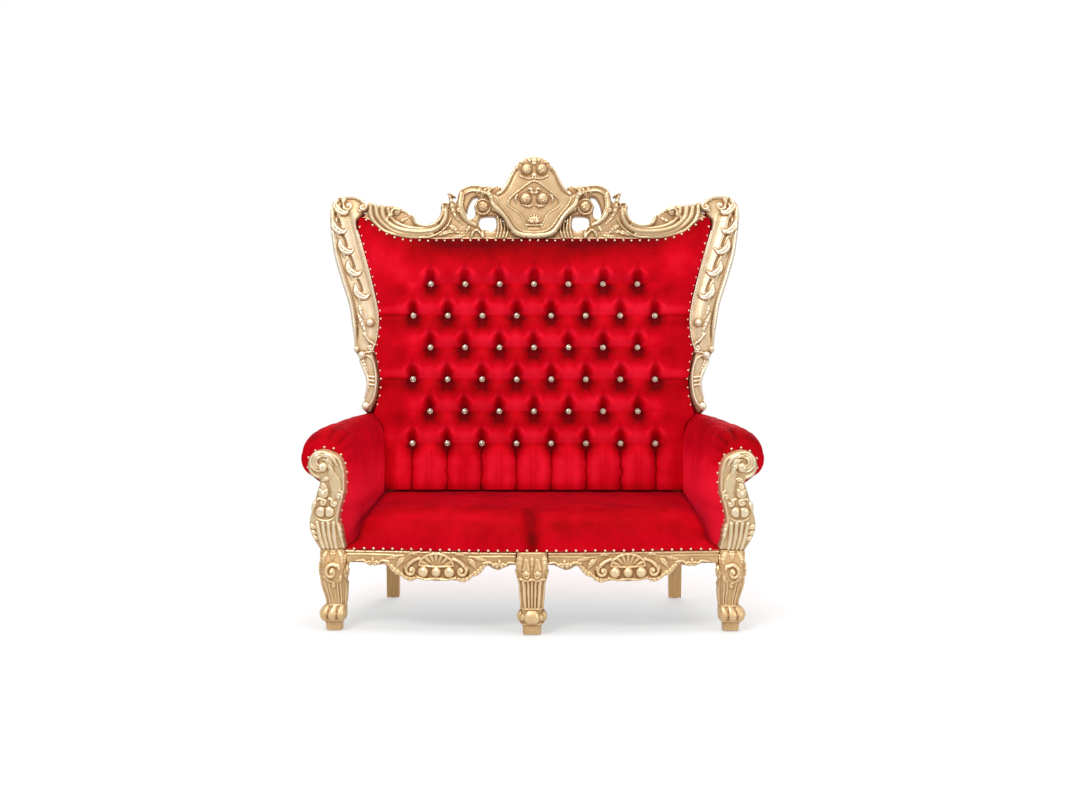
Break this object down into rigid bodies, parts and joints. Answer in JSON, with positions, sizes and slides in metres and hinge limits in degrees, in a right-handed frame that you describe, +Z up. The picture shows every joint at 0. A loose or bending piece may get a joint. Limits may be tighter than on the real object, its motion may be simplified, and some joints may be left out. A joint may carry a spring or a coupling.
{
  "type": "throne settee",
  "caption": "Baroque two-seat throne settee with a carved gilt frame, tall button-tufted red velvet back, rolled arms and a carved crest.",
  "frame": {"origin": "on the floor under the middle of the settee's box", "axes": "+Z up, -Y the way a sitter faces, +X to the viewer's right when facing the front"},
  "size_m": [1.694, 0.897, 1.816],
  "materials": {
    "carved_gilt": "carved hardwood, antique champagne gold leaf with brown glaze in the recesses",
    "carved_gilt_dark": "the same gold finish, toned darker on the legs and apron",
    "painted_timber": "plain timber, brownish gold paint, satin",
    "raw_timber": "unfinished sawn timber",
    "plywood": "unfinished plywood",
    "felt": "pressed felt pads",
    "jute_webbing": "woven jute",
    "foam": "upholstery foam",
    "black_lining": "non-woven lining",
    "red_velvet": "crushed red velvet with a soft sheen",
    "crystal_buttons": "faceted crystal in a gilt rim",
    "gilt_nails": "pale gold domed upholstery nails"
  },
  "bodies": {
    "root": {"arm_facing_left": "carved_gilt", "arm_facing_right": "carved_gilt", "arm_frame_left": "raw_timber", "arm_frame_right": "raw_timber", "arm_outer_cover_left": "red_velvet", "arm_outer_cover_right": "red_velvet", "arm_pad_left": "red_velvet", "arm_pad_right": "red_velvet", "back_border_lower_left": "carved_gilt", "back_border_lower_right": "carved_gilt", "back_border_upper_left": "carved_gilt", "back_border_upper_right": "carved_gilt", "back_cushion": "red_velvet", "back_outer_cover": "red_velvet", "back_panel": "plywood", "back_rail_bottom": "raw_timber", "back_rail_middle": "raw_timber", "back_rail_top": "raw_timber", "button_row_1": "crystal_buttons", "button_row_2": "crystal_buttons", "button_row_3": "crystal_buttons", "button_row_4": "crystal_buttons", "button_row_5": "crystal_buttons", "button_row_6": "crystal_buttons", "corner_brace_front_left": "raw_timber", "corner_brace_front_right": "raw_timber", "corner_brace_rear_left": "raw_timber", "corner_brace_rear_right": "raw_timber", "corner_volute_left": "carved_gilt", "corner_volute_right": "carved_gilt", "crest_cartouche": "carved_gilt", "crest_rail": "carved_gilt", "crest_scroll_left": "carved_gilt", "crest_scroll_right": "carved_gilt", "dust_cover": "black_lining", "front_leg_centre": "carved_gilt_dark", "front_leg_left": "carved_gilt_dark", "front_leg_right": "carved_gilt_dark", "glide_front_centre": "felt", "glide_front_left": "felt", "glide_front_right": "felt", "glide_rear_left": "felt", "glide_rear_right": "felt", "rear_post_left": "painted_timber", "rear_post_right": "painted_timber", "seat_cover": "red_velvet", "seat_foam": "foam", "seat_rail_back": "painted_timber", "seat_rail_front_left": "carved_gilt_dark", "seat_rail_front_right": "carved_gilt_dark", "seat_rail_side_left": "painted_timber", "seat_rail_side_right": "painted_timber", "seat_stretcher": "raw_timber", "seat_webbing_1": "jute_webbing", "seat_webbing_2": "jute_webbing", "seat_webbing_3": "jute_webbing", "seat_webbing_4": "jute_webbing", "seat_webbing_5": "jute_webbing", "seat_webbing_6": "jute_webbing"}
  },
  "joints": []
}
